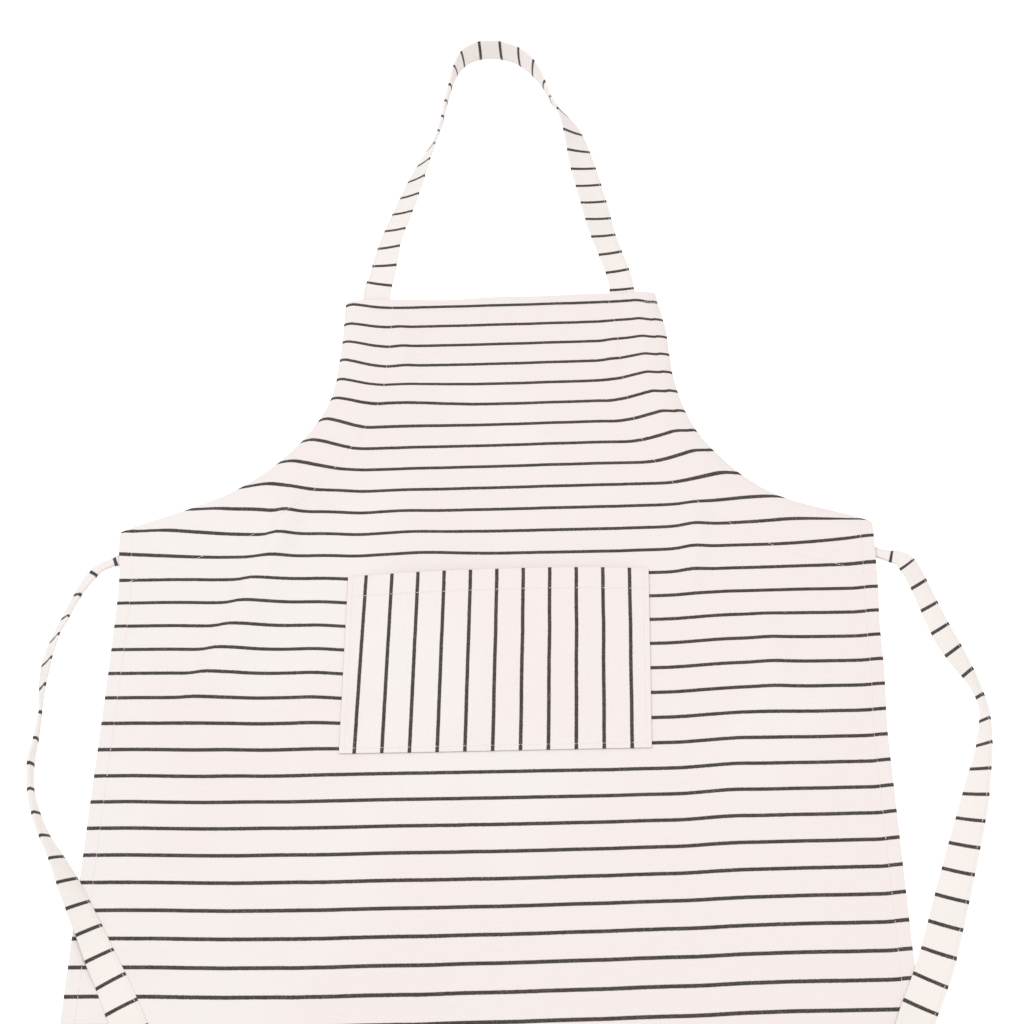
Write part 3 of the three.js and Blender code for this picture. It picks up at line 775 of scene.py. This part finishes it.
def pocketTop(share, depth):
    # place on the pocket's top face; share runs -1 to 1 across, depth 0 at the mouth to 1 at the foot
    x = pocket["middle"] + share * pocket["width"] / 2
    taper = np.clip(share, 0, 1) * pocket["taperRight"] + np.clip(share, -1, 0) * pocket["taperLeft"]
    x = x - depth * taper
    y = pocket["topY"] - depth * pocket["height"]
    y = y + 0.8 * mm * np.sin(3.1 * share + 0.5) * (1 - depth)
    puff = pocket["puff"] * (1 - np.abs(share) ** 3) * (1 - depth**3)
    puff = puff * (0.55 + 0.45 * smoothStep(1 - depth, 0, 0.9))
    z = clothTop(x, y) + pocket["lift"] + pocket["cloth"] + puff
    down, aside = depth * pocket["height"], (1 - np.abs(share)) * pocket["width"] / 2
    foot = (1 - depth) * pocket["height"]
    hems = 1 - smoothStep(down, 21.3 * mm, 22.6 * mm)
    rim = 1 - smoothStep(np.minimum(aside, foot), 7 * mm, 8.5 * mm)
    z = z + pocket["hemRise"] * np.maximum(hems, rim * 0.7)
    groove = hill(down, pocket["hem"] - 0.6 * mm, 0.8 * mm)
    groove = groove + hill(np.minimum(aside, foot), pocket["edge"], 0.8 * mm)
    return np.stack([x, y, z - groove * 0.06 * mm], -1)


def pocketCloth():
    aside = np.array([0, 0.4, 1.2, 2.5, 4.0, 4.8, 5.6, 6.6, 7.4, 8.6, 10.5]) * mm
    down = np.concatenate([
        [0, 0.4, 1.2, 3], np.linspace(5, 19, 8), [20.4, 21.1, 21.9, 22.7, 24], np.linspace(27, 170, 46),
        [173, 175, 176.4, 177.6, 178.6, 179.4, 180.4, 182, 183, 183.6, 184],
    ])
    depth = (down * mm / pocket["height"])[:, None]
    near = aside / (pocket["width"] / 2)
    share = np.concatenate([-(1 - near), np.linspace(-0.91, 0.91, 61), (1 - near)[::-1]])[None, :]
    share, depth = np.broadcast_arrays(share, depth)
    top = pocketTop(share, depth)
    bottom = top.copy()
    bottom[..., 2] -= pocket["cloth"]
    lean = pocket["lean"] * depth
    cloth = np.stack([top[..., 1], top[..., 0] - pocket["middle"] + lean], -1)
    return clothSolid("pocketCloth", top, bottom, cloth, pocketCotton)


pocketPanel = pocketCloth()
print("pocket made,", len(pocketPanel.data.polygons), "faces")


# stitches: Geometry Nodes lay one small thread loop per stitch along a seam line

stitch = {"Pitch": 3.1 * mm, "Length": 2.5 * mm, "Thread": 0.28 * mm, "Unevenness": 0.10, "Seed": 7}


def stitchTree():
    tree = bpy.data.node_groups.new("stitchesAlongLine", "GeometryNodeTree")
    outside = tree.interface
    outside.new_socket("Geometry", in_out="INPUT", socket_type="NodeSocketGeometry")
    for key in ("Pitch", "Length", "Thread", "Unevenness"):
        outside.new_socket(key, in_out="INPUT", socket_type="NodeSocketFloat")
    outside.new_socket("Seed", in_out="INPUT", socket_type="NodeSocketInt")
    outside.new_socket("Finish", in_out="INPUT", socket_type="NodeSocketMaterial")
    outside.new_socket("Geometry", in_out="OUTPUT", socket_type="NodeSocketGeometry")

    def node(kind, settings=None, **values):
        made = tree.nodes.new(kind)
        for key, value in (settings or {}).items():
            setattr(made, key, value)
        for key, value in values.items():
            socket = made.inputs[key.replace("_", " ")]
            if isinstance(value, bpy.types.NodeSocket):
                tree.links.new(value, socket)
            else:
                socket.default_value = value
        return made

    given = node("NodeGroupInput").outputs
    line = node("GeometryNodeMeshToCurve", Mesh=given["Geometry"]).outputs[0]
    evenly = node("GeometryNodeResampleCurve", {"mode": "LENGTH"}, Curve=line, Length=given["Pitch"])
    tangent = node("GeometryNodeInputTangent").outputs[0]
    turn = node("FunctionNodeAlignRotationToVector", {"axis": "Z"}, Vector=tangent).outputs[0]
    bead = node("GeometryNodeMeshUVSphere", Segments=6, Rings=5, Radius=0.5).outputs["Mesh"]
    smooth = node("GeometryNodeSetShadeSmooth", Geometry=bead).outputs[0]
    size = node("ShaderNodeCombineXYZ", X=given["Thread"], Y=given["Thread"], Z=given["Length"]).outputs[0]
    wide = node("ShaderNodeVectorMath", {"operation": "MULTIPLY"})
    tree.links.new(size, wide.inputs[0])
    wide.inputs[1].default_value = (2, 2, 1)
    low = node("ShaderNodeMath", {"operation": "SUBTRACT"})
    low.inputs[0].default_value = 1
    tree.links.new(given["Unevenness"], low.inputs[1])
    high = node("ShaderNodeMath", {"operation": "ADD"})
    high.inputs[0].default_value = 1
    tree.links.new(given["Unevenness"], high.inputs[1])
    chance = node("FunctionNodeRandomValue", {"data_type": "FLOAT"})
    tree.links.new(low.outputs[0], chance.inputs[2])
    tree.links.new(high.outputs[0], chance.inputs[3])
    tree.links.new(given["Seed"], chance.inputs["Seed"])
    uneven = node("ShaderNodeVectorMath", {"operation": "SCALE"})
    tree.links.new(wide.outputs[0], uneven.inputs[0])
    tree.links.new(chance.outputs[1], uneven.inputs["Scale"])
    placed = node("GeometryNodeInstanceOnPoints", Points=evenly.outputs[0], Instance=smooth, Rotation=turn,
                  Scale=uneven.outputs[0]).outputs[0]
    real = node("GeometryNodeRealizeInstances", Geometry=placed).outputs[0]
    done = node("GeometryNodeSetMaterial", Geometry=real, Material=given["Finish"]).outputs[0]
    tree.links.new(done, node("NodeGroupOutput").inputs[0])
    return tree


stitchNodes = stitchTree()


def sewLines(name, lines):
    # each line is a list of points on the cloth; all become one plain mesh of stitches
    vertices, edges = [], []
    for line in lines:
        first = len(vertices)
        vertices += [tuple(p) for p in line]
        edges += [(first + i, first + i + 1) for i in range(len(line) - 1)]
    mesh = bpy.data.meshes.new(name + "Line")
    mesh.from_pydata(vertices, edges, [])
    obj = bpy.data.objects.new(name, mesh)
    scene.collection.objects.link(obj)
    modifier = obj.modifiers.new("stitches", "NODES")
    modifier.node_group = stitchNodes
    items = stitchNodes.interface.items_tree
    sockets = {item.name: item.identifier for item in items if item.in_out == "INPUT"}
    for key, value in stitch.items():
        modifier[sockets[key]] = value
    modifier[sockets["Finish"]] = sewingThread
    bpy.context.view_layer.update()
    sewn = bpy.data.meshes.new_from_object(obj.evaluated_get(bpy.context.evaluated_depsgraph_get()))
    obj.modifiers.remove(modifier)
    obj.data = sewn
    sewn.name = name
    bpy.data.meshes.remove(mesh)
    return obj


def onBody(x, y, lift=0.02 * mm):
    x, y = np.broadcast_arrays(np.asarray(x, float), np.asarray(y, float))
    laidX, laidY = laid(x, y + edgeWave(x, y))
    return np.stack([laidX, laidY, clothTop(x, y) + lift], -1)


def bodySeams():
    across = np.linspace(-1, 1, 220)
    topY = body["topY"] - body["topHem"]
    topLine = onBody(across * (armholeX(topY, 0) - 1.5 * mm), topY)
    hemLine = onBody(across * (body["sideX"] - 1 * mm), body["hemY"] + body["hem"])
    sideY = np.linspace(0.156, body["hemY"] + 1 * mm, 220)
    casingY = np.concatenate([np.linspace(0.4395, 0.29, 80), np.linspace(0.288, 0.1, 140)])
    casingX = armholeX(casingY, casingWidth(casingY) - 0.4 * mm)
    made = {"bibTopStitches": sewLines("bibTopStitches", [topLine]),
            "bottomStitches": sewLines("bottomStitches", [hemLine])}
    for word, side in (("Left", -1), ("Right", 1)):
        sideX = side * (body["sideX"] - body["hem"])
        made["sideStitches" + word] = sewLines("sideStitches" + word, [onBody(sideX, sideY)])
        made["casingStitches" + word] = sewLines("casingStitches" + word, [onBody(side * casingX, casingY)])
    return made


def pocketSeams():
    hemDepth = pocket["hem"] / pocket["height"]
    edgeShare = 1 - pocket["edge"] / (pocket["width"] / 2)
    footDepth = 1 - pocket["edge"] / pocket["height"]
    across = np.linspace(-edgeShare, edgeShare, 120)
    down = np.linspace(0.004, footDepth, 90)
    lift = np.array([0, 0, 0.02 * mm])
    mouth = pocketTop(across, np.full_like(across, hemDepth)) + lift
    edge = np.vstack([pocketTop(np.full_like(down, -edgeShare), down),
                      pocketTop(across, np.full_like(across, footDepth))[1:-1],
                      pocketTop(np.full_like(down, edgeShare), down[::-1])]) + lift
    return {"pocketHemStitches": sewLines("pocketHemStitches", [mouth]),
            "pocketEdgeStitches": sewLines("pocketEdgeStitches", [edge])}


def strapSeam(name, facts):
    line, innerSide = facts["line"], facts["innerSide"]
    side, up = strapFrames(line, innerSide)
    across = -innerSide * (strap["width"] / 2 - strap["stitchInset"])
    curl = strap["curl"] * ((across / strap["width"] * 2) ** 2 - 0.33)
    wide = strapGather(facts["reach"], facts["gather"])[:, None]
    rows = []
    for face in (1, -1):
        lift = curl * wide + face * (strap["thickness"] / 2 * 0.85 / wide ** strap["fuller"])
        rows.append((line[:, :3] + side * across * wide + up * lift)[strap["unsewnSteps"]:])
    return sewLines(name, rows)


seams = {**bodySeams(), **pocketSeams()}
strapSeams = {"neckStrap": strapSeam("neckStitches", freeStraps["neckStrap"]),
              "tieLeft": strapSeam("tieStitchesLeft", freeStraps["tieLeft"]),
              "tieRight": strapSeam("tieStitchesRight", freeStraps["tieRight"])}
print("stitches sewn")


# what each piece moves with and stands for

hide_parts("skirt_panel", "bib_panel")
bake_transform(apronCloth)
for word in ("left", "right"):
    big = word.capitalize()
    casing, sewn = facings["casingFacing" + big], seams["casingStitches" + big]
    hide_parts(f"casing_facing_{word}_upper", f"casing_facing_{word}_lower")
    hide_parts(f"casing_seam_{word}_upper", f"casing_seam_{word}_lower")
    for piece, slotName in ((casing, "facing_cloth"), (sewn, "thread")):
        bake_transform(piece)
    ridden = {"Upper": "neck_strap", "Arc": f"strap_arc_{word}", "Lower": f"strap_lower_{word}"}
    for part, carrier in ridden.items():
        piece = casingStraps["strap" + part + big]
        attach(piece, carrier)
        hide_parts(f"strap_{part.lower()}_{word}")
    tie, sewn = freeStraps["tie" + big]["piece"], strapSeams["tie" + big]
    sign = -1 if word == "left" else 1
    # the tie turns from the strap in the casing over this stretch of its straight root
    root = [Vector((p[0] * mm, p[1] * mm, 0)) for p in (alongTie(sign, -9), alongTie(sign, 16))]
    for piece, slotName in ((tie, "strap_cloth"), (sewn, "thread")):
        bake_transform(piece)
    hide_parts(f"tie_{word}")

for seamName, node, ridden in (
    ("bibTopStitches", "bib_top_seam", "bib"), ("bottomStitches", "bottom_seam", "skirt"),
    ("sideStitchesLeft", "side_seam_left", "skirt"), ("sideStitchesRight", "side_seam_right", "skirt"),
    ("pocketHemStitches", "pocket_hem_seam", "skirt"), ("pocketEdgeStitches", "pocket_edge_seam", "skirt"),
):
    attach(seams[seamName], ridden)
    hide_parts(node)
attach(pocketPanel, "skirt")
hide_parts("pocket_panel")
neckStrap, neckSeam = freeStraps["neckStrap"]["piece"], strapSeams["neckStrap"]
for piece, slotName in ((neckStrap, "strap_cloth"), (neckSeam, "thread")):
    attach(piece, "neck_strap")
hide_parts("neck_loop")

for strapName, exitPoint, farEnd in (
    ("neckStrap", (-0.1316, 0.440, 0.0021), "object"),
    ("tieLeft", (-0.360, 0.127, 0.0021), "bare"),
    ("tieRight", (0.360, 0.127, 0.0021), "bare"),
):
    facts = freeStraps[strapName]

bpy.ops.mesh.primitive_plane_add(size=studio["floorSize"], location=(0, 0, 0))
floor = bpy.context.object
floor.name = "floor"
floor.data.materials.append(plainFloor())
